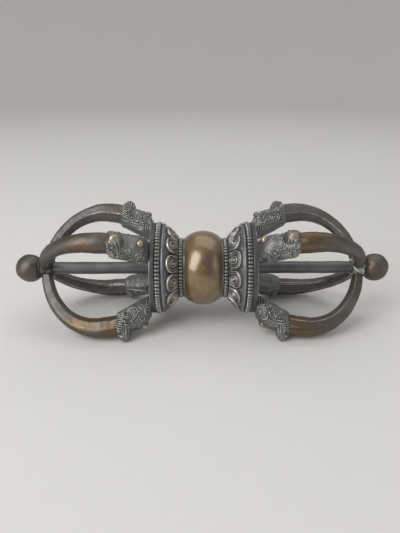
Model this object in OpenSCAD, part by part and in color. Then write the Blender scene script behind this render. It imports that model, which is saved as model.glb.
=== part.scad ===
// Dorje vajra, a rigid five-pronged ritual sceptre, built up from turned, cast and forged pieces.
// The axis is X, Z is up, and the origin is the middle of the globe.
// Four outer prongs at each end stand at 45 degrees to the ground, so it lies on four heads.
// Units are millimetres.

/* [Fits] */
// Clearance on each side between a plug and its hole
fit = 0.05; // [0.02:0.01:0.15]

/* [Globe] */
// Diameter at the middle
globe_d = 29.8; // [27:0.1:33]
// Length of the round part
globe_len = 14; // [11:0.1:17]
// Diameter where the round part ends
globe_edge_d = 24.6; // [22:0.1:26]
// Diameter of the plain lip at each end
lip_d = 23.8; // [21:0.1:25]
// Length of each lip
lip_len = 0.8; // [0.4:0.1:1.6]

/* [Spindle] */
// Diameter of the tie spindle, which is also the central prong
spindle_d = 5; // [4:0.1:5.6]
// How far the spindle goes into each ball
spindle_seat = 4; // [2.5:0.1:6]

/* [Inner bead rings] */
// Length along the axis
ring_len = 2; // [1.4:0.1:2.6]
// Diameter over the beads
ring_d = 24.2; // [22:0.1:26]
// Number of beads
ring_beads = 54; // [40:1:56]
// Diameter of a bead
ring_bead_d = 1.25; // [0.8:0.05:1.3]
// Diameter of the collar spigot that the ring sits on
spigot_d = 18; // [14:0.1:20]

/* [Lotus collars] */
// Length along the axis
collar_len = 4.8; // [4.2:0.1:6]
// Diameter at the end beside the bead ring
collar_small_d = 22.6; // [20:0.1:24]
// Diameter at the end beside the band
collar_big_d = 34; // [32:0.1:35]
// Number of petals
petals = 12; // [10:1:14]
// Diameter over the swell of the petals
petal_span = 30.6; // [29.8:0.1:31.6]
// Diameter of the round swell of one petal
petal_d = 6; // [5.4:0.1:6.6]
// Distance of a petal's middle from the bead ring
petal_x = 3.1; // [2.6:0.1:3.6]
// Diameter of the scroll on a petal
scroll_d = 3.6; // [2.6:0.1:4.2]
// Thickness of the scroll's cord
scroll_cord = 0.8; // [0.5:0.05:1]
// Diameter of the bead in the scroll
scroll_bead_d = 1.4; // [0.8:0.1:1.6]

/* [Bands and rims] */
// Length of the smooth band
band_len = 1.7; // [1:0.1:2.4]
// How far the smooth band rises over the boss that carries it
band_rise = 2.5; // [1.6:0.1:3.1]
// Length of the milled rim
rim_len = 2.1; // [1.7:0.1:3]
// How far the rim's bars rise over the boss that carries it
rim_rise = 3.1; // [2.6:0.1:4.1]
// Number of bars around the rim
rim_beads = 78; // [60:1:80]
// Width of a bar
rim_bead_d = 1.36; // [1:0.02:1.4]
// How far the rim's edges are rounded off
rim_round = 0.5; // [0.2:0.05:0.6]

/* [Socket plates] */
// Thickness of the flange
plate_t = 2; // [1.6:0.1:3]
// How far the flange rises over the boss
plate_rise = 2.7; // [1.6:0.1:3.1]
// Diameter of the boss that carries the rim and the band
boss_d = 30.8; // [28:0.1:32]
// Distance of a head's tenon from the axis
tenon_r = 14.4; // [14:0.1:15]
// Height of a tenon, away from the axis
tenon_h = 4.4; // [3:0.1:5]
// Width of a tenon
tenon_w = 5; // [3.6:0.1:6]
// Thickness of the plate left under a tenon
tenon_floor = 0.5; // [0.3:0.1:1]

/* [Makara heads] */
// Length from the plate to the mouth
head_len = 13.9; // [13.4:0.1:15.5]
// Where the head's inner side leaves the plate, from the axis
root_in_r = 11.8; // [11:0.1:12.1]
// Where the head's outer side leaves the plate, from the axis
root_out_r = 20.8; // [19.5:0.1:21.5]
// Width at the plate
root_w = 7.2; // [6.6:0.1:8.4]
// How far the brow lies below the mouth's rim
brow_drop = 3.9; // [3:0.1:4.6]
// Width across the cheeks
cheek_w = 8.8; // [8.2:0.1:9.8]
// How far the curled trunk rises above the mouth's rim
trunk_rise = 0.8; // [0.4:0.1:1.6]
// Width of the curled trunk
trunk_w = 9.4; // [9:0.1:10.4]
// Inner side of the lower jaw at the mouth, from the axis
jaw_r = 17; // [16:0.1:17.6]
// Thickness of the mouth's rim over the back of the prong
mouth_lip = 0.55; // [0.4:0.05:1]
// Width at the mouth
mouth_w = 7.8; // [7:0.1:8.6]
// How far the lower lip is rounded off at the mouth
lip_round = 0.6; // [0.3:0.1:1]
// Distance of the eyes from the plate
eye_x = 8.9; // [8:0.1:9.6]
// Distance of the eyes from the axis
eye_r = 20.4; // [19.6:0.1:21.4]
// Diameter of an eye
eye_d = 2.4; // [1.6:0.1:3]
// How far an eye stands out from the cheek
eye_rise = 0.5; // [0.2:0.1:0.9]
// Diameter of the ring around an eye
eye_ring_d = 4.2; // [3.6:0.1:5]
// Thickness of the rings around the eyes and the cheek scrolls
cheek_cord = 0.7; // [0.4:0.05:0.9]
// Distance of the cheek scrolls from the plate
scroll_x = 4; // [3.4:0.1:4.8]
// Distance of the cheek scrolls from the axis
scroll_r = 18.6; // [17.6:0.1:19.4]
// Diameter of a cheek scroll
cheek_scroll_d = 3.6; // [3:0.1:4.6]
// Number of curls up the side of the mouth
curls = 3; // [2:1:4]
// Distance of the curls from the plate
curl_x = 12; // [11.4:0.1:12.4]
// Distance of the lowest curl from the axis
curl_low_r = 21.6; // [21:0.1:22.4]
// Distance of the highest curl from the axis
curl_high_r = 25.4; // [24.8:0.1:25.8]
// Diameter of a curl
curl_d = 1.7; // [1.2:0.1:2]
// How far a curl stands out
curl_rise = 0.45; // [0.3:0.05:0.6]
// Distance of the line of the lips from the axis
lip_r = 19.6; // [18.8:0.1:20.4]
// Width of the line of the lips
lip_line = 0.7; // [0.4:0.1:1]
// Length of the line of the lips, from the mouth
lip_reach = 5.6; // [4:0.1:6.5]
// Diameter of a nostril in the side of the trunk
nostril_d = 1.6; // [1:0.1:2]
// Distance of a nostril below the top of the trunk
nostril_drop = 2.4; // [2:0.1:3]
// Depth of a nostril
nostril_depth = 0.6; // [0.3:0.1:1]
// Depth of the flats worn on the trunk where it rests
wear = 0.35; // [0.25:0.05:0.5]

/* [Prongs] */
// Distance of the prong's widest place from the plate
belly_x = 17.9; // [17:0.1:19]
// Greatest distance of the prong's back from the axis
belly_r = 28.9; // [27:0.1:30.5]
// Length from the widest place to the tip
reach = 26.2; // [24:0.1:29]
// Depth of the prong at the widest place
prong_t = 7.3; // [6.4:0.1:8]
// Depth at the tip
tip_t = 4; // [3.2:0.1:4.6]
// Width at the widest place
prong_w = 6.1; // [5.6:0.1:6.6]
// Width at the tip
tip_w = 3.6; // [3:0.1:4.4]
// Thickness of the tang inside the head
tang_t = 3.2; // [2.6:0.1:3.6]
// Width of the tang
tang_w = 4; // [3:0.1:5]
// Length of the tang past the middle of the stud
tang_spare = 0.6; // [0.2:0.1:1]
// Depth of the tang's middle below the back of the prong, at the mouth
tang_drop = 5.4; // [5:0.1:6]
// Slope of the tang toward the axis
tang_slope = 12; // [10:0.5:15]

/* [Studs] */
// Distance of a stud from the plate, along the crown of its head
stud_x = 2.4; // [2:0.1:3.4]
// Lean of a stud toward the plate
stud_lean = 25; // [15:1:30]
// Depth of a stud's seat below the crown
stud_seat = 0.9; // [0.7:0.05:1.2]
// Diameter of a stud
stud_d = 3; // [2.4:0.1:3.4]
// Height of the drum under a stud's dome
stud_drum = 0.7; // [0.4:0.1:1.2]
// Diameter of a stud's shank
shank_d = 1.3; // [1:0.1:1.6]
// Length of a stud's shank
shank_len = 3.4; // [2.6:0.1:4]

/* [Tips and finials] */
// Diameter of the collar that the tips are pegged into
tip_collar_d = 7.2; // [6.8:0.1:7.8]
// Length of that collar beyond the tips on each side
tip_collar_spare = 0.4; // [0.2:0.1:0.8]
// Diameter of the peg on a prong's tip
peg_d = 1.6; // [1.2:0.1:2]
// Thickness of the collar left under a peg
peg_floor = 0.25; // [0.15:0.05:0.5]
// Diameter of the ball
ball_d = 11.3; // [10.4:0.1:12.5]
// Diameter of the ball's flat seat on the tip collar
ball_seat_d = 6.6; // [5.8:0.1:6.8]

/* [Hidden] */
$fn = 64;

END_NAMES = ["left", "right"];
PLACE_NAMES = ["front_upper", "back_upper", "back_lower", "front_lower"];
PLACE_ANGLES = [135, 45, -45, -135];

// Places along the axis, outward from the middle of the globe
globe_end = globe_len / 2 + lip_len;
ring_end = globe_end + ring_len;
collar_end = ring_end + collar_len;
band_end = collar_end + band_len;
rim_end = band_end + rim_len;
plate_end = rim_end + plate_t;
mouth_x = plate_end + head_len;
belly_at = plate_end + belly_x;
tip_end = belly_at + reach;
tip_mid = tip_end - tip_t / 2;
tip_collar_start = tip_end - tip_t - tip_collar_spare;
tip_collar_end = tip_end + tip_collar_spare;
ball_at = tip_collar_end + sqrt(pow(ball_d / 2, 2) - pow(ball_seat_d / 2, 2));
spindle_end = tip_collar_end + spindle_seat;

band_d = boss_d + 2 * band_rise;
rim_d = boss_d + 2 * rim_rise;
plate_d = boss_d + 2 * plate_rise;
bore_d = spindle_d + 2 * fit;
peg_len = (tip_collar_d - bore_d) / 2 - peg_floor;
tenon_len = plate_t - tenon_floor;

// Heights of the head, from the axis, over the back of the prong where it enters the mouth
back_at_mouth = belly_r * sqrt(1 - pow((head_len - belly_x) / reach, 2));
mouth_r = back_at_mouth + mouth_lip;
trunk_r = mouth_r + trunk_rise;
brow_r = mouth_r - brow_drop;
tang_r = back_at_mouth - tang_drop;
tang_len = (head_len - stud_x + tang_spare) / cos(tang_slope);

// Long enough to cut through any one piece
beyond = 100;

// The arc of the globe, through its widest place and the edge of its round part
globe_sag = (globe_d - globe_edge_d) / 2;
globe_arc_r = (pow(globe_len / 2, 2) + pow(globe_sag, 2)) / (2 * globe_sag);

// Slope of the collar's outside, from the bead ring to the band
collar_slope = atan2((collar_big_d - collar_small_d) / 2, collar_len);

// How far the lower jaw rises from the plate to the mouth
jaw_rise = jaw_r - root_in_r;
// Squareness of a head's cross-section, where 2 is an ellipse
HEAD_SQUARE = 2.3;
HEAD_SIDES = 24;
HEAD_RINGS = 20;
// Each row is a place along the head as a share of its length, its inner side, outer side and half width
HEAD_ROWS = [
    [0, root_in_r, root_out_r, root_w / 2],
    [0.1, root_in_r + 0.08 * jaw_rise, 0.3 * root_out_r + 0.7 * brow_r, 0.45 * cheek_w],
    [0.26, root_in_r + 0.3 * jaw_rise, brow_r, cheek_w / 2],
    [0.46, root_in_r + 0.58 * jaw_rise, brow_r, 0.48 * cheek_w],
    [0.6, root_in_r + 0.72 * jaw_rise, 0.85 * brow_r + 0.15 * trunk_r, 0.48 * cheek_w],
    [0.69, root_in_r + 0.82 * jaw_rise, 0.25 * brow_r + 0.75 * trunk_r, 0.47 * trunk_w],
    [0.785, root_in_r + 0.9 * jaw_rise, trunk_r, trunk_w / 2],
    [0.87, root_in_r + 0.96 * jaw_rise, 0.4 * mouth_r + 0.6 * trunk_r, 0.49 * trunk_w],
    [0.95, jaw_r, mouth_r, 0.46 * trunk_w],
    [1, jaw_r + lip_round, mouth_r - lip_round / 4, mouth_w / 2]
];
TRUNK_ROW = HEAD_ROWS[6];

// Height of the axis above the ground when it lies on four worn trunks
trunk_mid = (TRUNK_ROW[1] + TRUNK_ROW[2]) / 2;
trunk_half = (TRUNK_ROW[2] - TRUNK_ROW[1]) / 2;
support_power = HEAD_SQUARE / (HEAD_SQUARE - 1);
rest_h = trunk_mid * sin(45) - wear + pow(
    pow(trunk_half * cos(45), support_power) + pow(TRUNK_ROW[3] * sin(45), support_power),
    1 / support_power);

PRONG_RINGS = 24;
// The sweep starts inside the head and ends inside the tip collar, where it is cut
SWEEP_START_ANGLE = -18;
SWEEP_END_ANGLE = 85;
// Half of the prong's section, from its back to its inner edge: share of the depth, share of the width
PRONG_HALF = [
    [0, 0], [0.03, 0.28], [0.12, 0.45], [0.24, 0.5], [0.62, 0.5], [0.9, 0.22], [1, 0.06]
];
PRONG_SECTION = concat(
    PRONG_HALF,
    [for (i = [len(PRONG_HALF) - 1 : -1 : 1]) [PRONG_HALF[i][0], -PRONG_HALF[i][1]]]
);

function power_of(v, p) = sign(v) * pow(abs(v), p);

// A value between the rows of a table, on a smooth curve through them
function smooth_at(rows, at, column, i = 0) =
    i >= len(rows) - 2 || at <= rows[i + 1][0]
        ? curve_between(
            rows[max(i - 1, 0)][column], rows[i][column],
            rows[i + 1][column], rows[min(i + 2, len(rows) - 1)][column],
            (at - rows[i][0]) / (rows[i + 1][0] - rows[i][0]))
        : smooth_at(rows, at, column, i + 1);

function curve_between(a, b, c, d, t) =
    b + 0.5 * t * (c - a + t * (2 * a - 5 * b + 4 * c - d + t * (3 * (b - c) + d - a)));

// One cross-section of a head: along the axis, away from the axis, and sideways
function head_ring(at) =
    let (inner = smooth_at(HEAD_ROWS, at, 1))
    let (outer = smooth_at(HEAD_ROWS, at, 2))
    let (half = smooth_at(HEAD_ROWS, at, 3))
    [for (k = [0 : HEAD_SIDES - 1])
        let (a = 360 * (k + 0.5) / HEAD_SIDES)
        [
            plate_end + at * head_len,
            (inner + outer) / 2 + (outer - inner) / 2 * power_of(cos(a), 2 / HEAD_SQUARE),
            half * power_of(sin(a), 2 / HEAD_SQUARE)
        ]
    ];

// Half the width of a head at a distance from the plate and from the axis
function cheek(x, r) =
    let (at = x / head_len)
    let (inner = smooth_at(HEAD_ROWS, at, 1))
    let (outer = smooth_at(HEAD_ROWS, at, 2))
    let (share = abs(2 * r - inner - outer) / (outer - inner))
    smooth_at(HEAD_ROWS, at, 3) * pow(1 - pow(share, HEAD_SQUARE), 1 / HEAD_SQUARE);

// One cross-section of a prong, square to its curved back
function prong_ring(turn) =
    let (share = max(turn, 0) / 90)
    let (depth = prong_t + (tip_t - prong_t) * share)
    let (width = prong_w + (tip_w - prong_w) * share)
    let (back = [belly_at + reach * sin(turn), belly_r * cos(turn)])
    let (raw = [belly_r * sin(turn), reach * cos(turn)])
    let (out = raw / norm(raw))
    [for (p = PRONG_SECTION)
        [back[0] - out[0] * depth * p[0], back[1] - out[1] * depth * p[0], width * p[1]]
    ];

// A closed skin over rings that all have the same number of points
module skin(rings) {
    sides = len(rings[0]);
    last = len(rings) - 1;
    points = [for (ring = rings) for (p = ring) p];
    walls = [for (i = [0 : last - 1]) for (k = [0 : sides - 1])
        let (m = (k + 1) % sides)
        each [
            [i * sides + k, (i + 1) * sides + k, (i + 1) * sides + m],
            [i * sides + k, (i + 1) * sides + m, i * sides + m]
        ]
    ];
    start_cap = [[for (k = [0 : sides - 1]) k]];
    end_cap = [[for (k = [sides - 1 : -1 : 0]) last * sides + k]];
    polyhedron(points, concat(walls, start_cap, end_cap), convexity = 6);
}

// Turns a half profile, drawn as distance from the axis and place along it, about X
module turned() {
    rotate([0, 90, 0]) rotate_extrude(convexity = 4) children();
}

// A plain bar along X, from one place to another
module bar(d, from, to) {
    translate([from, 0, 0]) rotate([0, 90, 0]) cylinder(d = d, h = to - from);
}

// Puts a piece drawn for the right end at either end
module at_end(e) {
    rotate([0, 0, e == 1 ? 0 : 180]) children();
}

// Turns a piece drawn in the XY plane so that Y points along a place's direction
module at_place(e, p) {
    angle = e == 1 ? PLACE_ANGLES[p] : 180 - PLACE_ANGLES[p];
    rotate([angle, 0, 0]) children();
}

module hub_globe() {
    color("peru") difference() {
        union() {
            turned() intersection() {
                translate([globe_d / 2 - globe_arc_r, 0]) circle(globe_arc_r);
                translate([0, -globe_len / 2]) square([globe_d, globe_len]);
            }
            bar(lip_d, -globe_end, globe_end);
        }
        bar(bore_d, -beyond, beyond);
    }
}

module central_spindle() {
    color("slategray") bar(spindle_d, -spindle_end, spindle_end);
}

// A ring of round cord that lies flat
module cord_ring(d, cord) {
    rotate_extrude() translate([(d - cord) / 2, 0]) circle(d = cord);
}

// A ring of round bars along the axis, with its edges rounded off
module milled_ring(outer_d, bead_d, beads, hole_d, from, to, edge) {
    bead_circle = (outer_d - bead_d) / 2;
    difference() {
        intersection() {
            translate([from, 0, 0]) rotate([0, 90, 0]) linear_extrude(to - from) {
                circle(bead_circle);
                for (k = [0 : beads - 1])
                    rotate(360 * k / beads) translate([bead_circle, 0]) circle(d = bead_d);
            }
            turned() polygon([
                [0, from], [outer_d / 2 - edge, from], [outer_d / 2, from + edge],
                [outer_d / 2, to - edge], [outer_d / 2 - edge, to], [0, to]
            ]);
        }
        bar(hole_d, -beyond, beyond);
    }
}

module inner_bead_ring() {
    color("darkkhaki") milled_ring(
        ring_d, ring_bead_d, ring_beads, spigot_d + 2 * fit, globe_end, ring_end, ring_bead_d / 3);
}

// Distance of a petal's middle from the axis, and its place along the axis
petal_mid_r = (petal_span - petal_d) / 2;
petal_mid_x = ring_end + petal_x;

module petal() {
    translate([petal_mid_x, petal_mid_r, 0]) {
        sphere(d = petal_d);
        rotate([0, 0, collar_slope]) translate([0, petal_d / 2, 0]) {
            rotate([90, 0, 0]) cord_ring(scroll_d, scroll_cord);
            translate([0, -scroll_bead_d / 4, 0]) sphere(d = scroll_bead_d);
        }
    }
}

module lotus_collar() {
    color("darkkhaki") difference() {
        union() {
            turned() polygon([
                [0, ring_end], [collar_small_d / 2, ring_end],
                [collar_big_d / 2, collar_end], [0, collar_end]
            ]);
            bar(spigot_d, globe_end, ring_end);
            intersection() {
                for (k = [0 : petals - 1]) rotate([360 * (k + 0.5) / petals, 0, 0]) petal();
                bar(beyond, ring_end, collar_end);
            }
        }
        bar(bore_d, -beyond, beyond);
    }
}

module band_ring() {
    color("goldenrod") difference() {
        bar(band_d, collar_end, band_end);
        bar(boss_d + 2 * fit, -beyond, beyond);
    }
}

module bead_rim() {
    color("darkkhaki") milled_ring(
        rim_d, rim_bead_d, rim_beads, boss_d + 2 * fit, band_end, rim_end, rim_round);
}

module tenon(clear) {
    translate([plate_end - tenon_len - clear, tenon_r - tenon_h / 2 - clear, -tenon_w / 2 - clear])
        cube([tenon_len + clear + fit, tenon_h + 2 * clear, tenon_w + 2 * clear]);
}

module socket_plate(e) {
    color("dimgray") difference() {
        union() {
            bar(plate_d, rim_end, plate_end);
            bar(boss_d, collar_end, plate_end);
        }
        bar(bore_d, -beyond, beyond);
        for (p = [0 : 3]) at_place(e, p) tenon(fit);
    }
}

// The tang of a prong, or the socket for it when it is given a clearance
module tang(clear) {
    translate([mouth_x, tang_r, 0]) rotate([0, 0, tang_slope])
        translate([-tang_len - clear, -tang_t / 2 - clear, -tang_w / 2 - clear])
        cube([tang_len + prong_t / 2, tang_t + 2 * clear, tang_w + 2 * clear]);
}

// Puts a piece drawn along Z on the crown of a head, where the stud is
module at_stud() {
    crown_r = smooth_at(HEAD_ROWS, stud_x / head_len, 2);
    translate([plate_end + stud_x, crown_r, 0]) rotate([0, 0, stud_lean]) rotate([-90, 0, 0]) children();
}

module shank_hole() {
    at_stud() translate([0, 0, -stud_seat - shank_len - fit])
        cylinder(d = shank_d + 2 * fit, h = shank_len + stud_seat);
}

// Puts a detail on both cheeks of a head
module on_cheeks(x, r, rise) {
    for (side = [0, 1])
        mirror([0, 0, side]) translate([plate_end + x, r, cheek(x, r) + rise]) children();
}

module cheek_details() {
    on_cheeks(eye_x, eye_r, eye_rise - eye_d / 2) sphere(d = eye_d);
    on_cheeks(eye_x, eye_r, 0) cord_ring(eye_ring_d, cheek_cord);
    on_cheeks(scroll_x, scroll_r, 0) cord_ring(cheek_scroll_d, cheek_cord);
    on_cheeks(scroll_x, scroll_r, curl_rise - curl_d / 2) sphere(d = curl_d);
    for (k = [0 : curls - 1])
        on_cheeks(curl_x, curl_low_r + (curl_high_r - curl_low_r) * k / (curls - 1), curl_rise - curl_d / 2)
            sphere(d = curl_d);
}

module cheek_cuts() {
    lip_x = head_len - lip_reach;
    on_cheeks(lip_x, lip_r, 0) rotate([45, 0, 0])
        translate([0, -lip_line / 2, -lip_line / 2]) cube([lip_reach * 2, lip_line, lip_line]);
    on_cheeks(TRUNK_ROW[0] * head_len, trunk_r - nostril_drop, -nostril_depth)
        cylinder(d = nostril_d, h = trunk_w);
}

module makara_head() {
    color("darkseagreen") difference() {
        union() {
            skin([for (i = [0 : HEAD_RINGS]) head_ring(i / HEAD_RINGS)]);
            tenon(0);
            cheek_details();
        }
        cheek_cuts();
        tang(fit);
        at_stud() translate([0, 0, -stud_seat]) cylinder(d = stud_d + 2 * fit, h = trunk_r);
        shank_hole();
        for (side = [-45, 45])
            rotate([side, 0, 0]) translate([plate_end, rest_h, -beyond / 2])
            cube([head_len * 2, beyond, beyond]);
    }
}

module prong() {
    color("sienna") difference() {
        union() {
            difference() {
                skin([for (i = [0 : PRONG_RINGS])
                    prong_ring(SWEEP_START_ANGLE + (SWEEP_END_ANGLE - SWEEP_START_ANGLE) * i / PRONG_RINGS)]);
                translate([mouth_x + fit - beyond, -beyond / 2, -beyond / 2]) cube(beyond);
                bar(tip_collar_d + 2 * fit, -beyond, beyond);
            }
            tang(0);
            translate([tip_mid, tip_collar_d / 2 - peg_len + fit, 0]) rotate([-90, 0, 0])
                cylinder(d = peg_d, h = peg_len + tip_t / 2);
        }
        shank_hole();
    }
}

// A drum with a domed top, sunk in the crown, and the shank that pins the tang
module stud() {
    at_stud() {
        translate([0, 0, fit - stud_seat]) rotate_extrude() intersection() {
            union() {
                translate([0, stud_drum]) circle(d = stud_d);
                square([stud_d / 2, stud_drum]);
            }
            square([stud_d, stud_drum + stud_d]);
        }
        translate([0, 0, -stud_seat - shank_len]) cylinder(d = shank_d, h = shank_len + stud_drum);
    }
}

module stud_rivets(e) {
    color("gold") for (p = [0 : 3]) at_place(e, p) stud();
}

module tip_collar(e) {
    color("tan") difference() {
        bar(tip_collar_d, tip_collar_start, tip_collar_end);
        bar(bore_d, -beyond, beyond);
        for (p = [0 : 3]) at_place(e, p)
            translate([tip_mid, tip_collar_d / 2 - peg_len, 0]) rotate([-90, 0, 0])
            cylinder(d = peg_d + 2 * fit, h = tip_collar_d);
    }
}

module finial() {
    color("sienna") difference() {
        turned() intersection() {
            translate([0, ball_at]) circle(d = ball_d);
            translate([0, tip_collar_end]) square(2 * ball_d);
        }
        bar(bore_d, -beyond, spindle_end + fit);
    }
}

hub_globe();
central_spindle();

for (e = [0, 1]) at_end(e) {
    inner_bead_ring();
    lotus_collar();
    band_ring();
    bead_rim();
    socket_plate(e);
    stud_rivets(e);
    tip_collar(e);
    finial();
    for (p = [0 : 3]) at_place(e, p) {
        makara_head();
        prong();
    }
}
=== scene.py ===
"""The looks of a five-pronged dorje of patinated bronze.

Each piece is a mesh worked out here, in millimetres, from the sizes of its solid, and is set in the
shared frame in metres. The axis of the dorje is X, Z is up, and the middle of the globe is the origin.
"""
import math
from collections import namedtuple

import bpy
import numpy as np
from mathutils import Matrix, Vector


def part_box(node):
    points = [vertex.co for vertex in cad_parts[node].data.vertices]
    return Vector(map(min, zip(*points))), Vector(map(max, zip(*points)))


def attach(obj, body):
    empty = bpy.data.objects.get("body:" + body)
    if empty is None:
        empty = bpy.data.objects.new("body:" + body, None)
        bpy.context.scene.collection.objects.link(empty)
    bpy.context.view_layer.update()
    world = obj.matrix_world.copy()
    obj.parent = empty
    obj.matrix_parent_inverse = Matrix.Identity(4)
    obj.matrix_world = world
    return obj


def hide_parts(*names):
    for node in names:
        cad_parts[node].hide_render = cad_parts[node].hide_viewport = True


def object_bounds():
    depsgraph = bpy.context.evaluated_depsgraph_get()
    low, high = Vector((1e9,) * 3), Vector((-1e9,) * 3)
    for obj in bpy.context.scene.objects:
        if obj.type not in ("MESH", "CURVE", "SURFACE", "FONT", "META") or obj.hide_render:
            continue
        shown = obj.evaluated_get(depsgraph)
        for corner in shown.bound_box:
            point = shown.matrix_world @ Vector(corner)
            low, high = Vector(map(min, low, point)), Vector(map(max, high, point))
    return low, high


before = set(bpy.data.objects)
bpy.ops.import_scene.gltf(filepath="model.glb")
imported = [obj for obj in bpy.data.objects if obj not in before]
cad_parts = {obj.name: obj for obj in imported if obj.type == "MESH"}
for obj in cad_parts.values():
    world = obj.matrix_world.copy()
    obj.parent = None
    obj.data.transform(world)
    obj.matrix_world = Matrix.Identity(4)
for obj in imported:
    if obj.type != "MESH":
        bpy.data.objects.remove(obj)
cad_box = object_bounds()
scene = bpy.context.scene

MM = 0.001
TURN = 2 * math.pi


# Sizes that the solids give, in millimetres

def span(node):
    """Start and end along the axis, and greatest height over the axis, of a node."""
    low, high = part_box(node)
    return low.x / MM, high.x / MM, high.z / MM


GLOBE_END, GLOBE_R = span("hub_globe")[1:]
RING_START, RING_END, RING_R = span("right_inner_bead_ring")
COLLAR_END = span("right_lotus_collar")[1]
BAND_START, BAND_END, BAND_R = span("right_band_ring")
RIM_START, RIM_END, RIM_R = span("right_bead_rim")
PLATE_END, PLATE_R = span("right_socket_plate")[1:]
MOUTH_X = span("right_makara_head_front_upper")[1]
TIP_START, TIP_END, TIP_R = span("right_tip_collar")
BALL_START, BALL_END, BALL_R = span("right_finial")
SPINDLE_END, SPINDLE_R = span("central_spindle")[1:]
REST_H = -cad_box[0].z / MM
HEAD_LEN = MOUTH_X - PLATE_END

# Sizes that the photograph gives, in millimetres

GLOBE_ROUND = 7.0
GLOBE_EDGE_R = 12.3
LIP_R = 11.9
RING_BEADS = 54
RING_CORE_R = 11.2
SPIGOT_R = 9.0
COLLAR_SMALL_R = 11.3
COLLAR_BIG_R = 16.6
PETALS = 12
BOSS_R = 15.4
RIM_BARS = 78
RIM_CORE_R = 17.5

# Each row of the head is a share of its length, its inner side, outer side and half width
HEAD_ROWS = [
    (0.0, 11.7, 20.3, 3.8),
    (0.1, 12.2, 22.9, 4.1),
    (0.26, 13.35, 24.6, 4.42),
    (0.46, 14.9, 25.2, 4.25),
    (0.6, 15.9, 26.1, 4.22),
    (0.69, 16.6, 27.2, 4.35),
    (0.785, 17.3, 27.8, 4.45),
    (0.87, 17.9, 28.1, 4.35),
    (0.95, 18.4, 28.3, 4.15),
    (1.0, 19.0, 28.25, 3.8),
]
HEAD_SQUARE = 2.3
# The round knob of the trunk, over the mouth, and how softly it runs into the head
KNOB_X = 10.6
KNOB_LONG = 3.05
KNOB_WIDE = 3.1
KNOB_SQUARE = 2.2
KNOB_FOOT_R = 24.3
KNOB_TALL = 5.9
KNOB_BLEND = 0.2
# How one head differs from the others: how much longer it is, how far its jaw rises to the mouth, how
# deep its crown is carved, how far its knob is rubbed bright and set to one side, and where its stud is,
# from the plate and from the middle line
Head = namedtuple(
    "Head", "stretch jaw crown rub knob_y stud_x stud_y", defaults=(0.0, 0.0, 1.0, 0.3, 0.0, 2.4, 0.0))
HEADS = {
    "left_front_upper": Head(stretch=0.6, crown=0.35, rub=1.0),
    "left_back_upper": Head(stretch=-0.25),
    "left_front_lower": Head(stretch=-0.8),
    "right_front_upper": Head(stretch=0.5, crown=1.2, rub=1.0, knob_y=1.1, stud_x=1.5, stud_y=1.9),
    "right_back_upper": Head(stretch=0.7, jaw=0.7, crown=0.6),
    "right_front_lower": Head(stretch=-1.0),
}
MOUTH_MID_R = 24.05
MOUTH_TALL = 4.1
MOUTH_WIDE = 3.55
MOUTH_DEPTH = 2.2

# The prong's back is an arc of an ellipse, from inside the mouth to the tip collar
BELLY_X = PLATE_END + 17.9
BELLY_R = 28.9
REACH = 26.2
PRONG_FROM = math.radians(-15.5)
PRONG_TO = math.radians(83)
PRONG_DEPTH = (7.3, 4.0)
PRONG_WIDTH = (6.1, 3.6)
# Its section as shares of the depth and of the width: a round back, a flat flank, a bevel and a narrow
# inner edge
BACK_SHARE = 0.32
BACK_SQUARE = 2.1
PRONG_INNER = [(0.68, 0.5), (0.91, 0.22), (1, 0.06)]
# How brown each prong is near its mouth
PRONG_BROWN = {"front_upper": 1.0, "back_upper": 0.35, "back_lower": 0.2, "front_lower": 1.0}

ENDS = {"left": -1, "right": 1}
PLACES = {"front_upper": 135, "back_upper": 45, "back_lower": -45, "front_lower": -135}
# How the two ends differ: the turn of the petals, the braze at the tips, and the point on the ball
PETAL_TURN = {"left": math.radians(15), "right": math.radians(9.2)}
TIP_BRAZE = {"left": 0.0, "right": 0.7}
BALL_POINT = {"left": 0.0, "right": 0.25}

# Unevenness of each kind of piece: the height and the length of its waves
GLOBE_UNEVEN = [(0.015, 8.0)]
SPINDLE_UNEVEN = [(0.04, 8.0)]
COLLAR_UNEVEN = [(0.025, 2.5)]
BAND_UNEVEN = [(0.02, 5.0)]
PLATE_UNEVEN = [(0.025, 5.0)]
HEAD_UNEVEN = [(0.03, 2.2)]
STUD_UNEVEN = [(0.04, 2.0)]
PRONG_UNEVEN = [(0.035, 8.0), (0.02, 1.8)]
BALL_UNEVEN = [(0.06, 7.0), (0.015, 1.7)]
# How much a millimetre of it counts as relief, on turned and on cast pieces
TURNED_RELIEF = 2.0
CAST_RELIEF = 3.0
# How far a point stands over its neighbours in full relief
FULL_RELIEF = 0.25
# How dark a groove is painted, as relief: dirt, and painted shade
GROOVE_DIRT_AND_SHADE = 1.4

# Outlines: the bend that counts as a corner, the most of a side that its rounding takes, and the widest
# gap between points
CORNER_BEND = math.radians(15)
CORNER_SHARE = 0.45
CORNER_STEPS = 5
OUTLINE_GAP = 0.5
FINE_CORNER = 0.12

# A bend in a mesh from which it is shaded as sharp
SHARP_BEND = math.radians(50)


# Shapes as grids of points, whose columns go around the piece

# A closed form: its points, how far they stand over their neighbours (-1 to 1), whether its last row
# joins its first, and how much it has been rubbed bright (0 to 1)
Form = namedtuple("Form", "grid relief ring rub", defaults=(0.0,))


def smooth(value, low, high):
    """0 at low, 1 at high, and a smooth rise between them."""
    share = np.clip((value - low) / (high - low), 0, 1)
    return share * share * (3 - 2 * share)


def ridge(distance, half_width):
    """A rounded cord: 1 on its middle line and 0 at its edge."""
    return np.clip(1 - (distance / half_width) ** 2, 0, 1)


def signed_power(value, power):
    """The power of a number's size, with the number's own sign."""
    return np.sign(value) * np.abs(value) ** power


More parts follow.
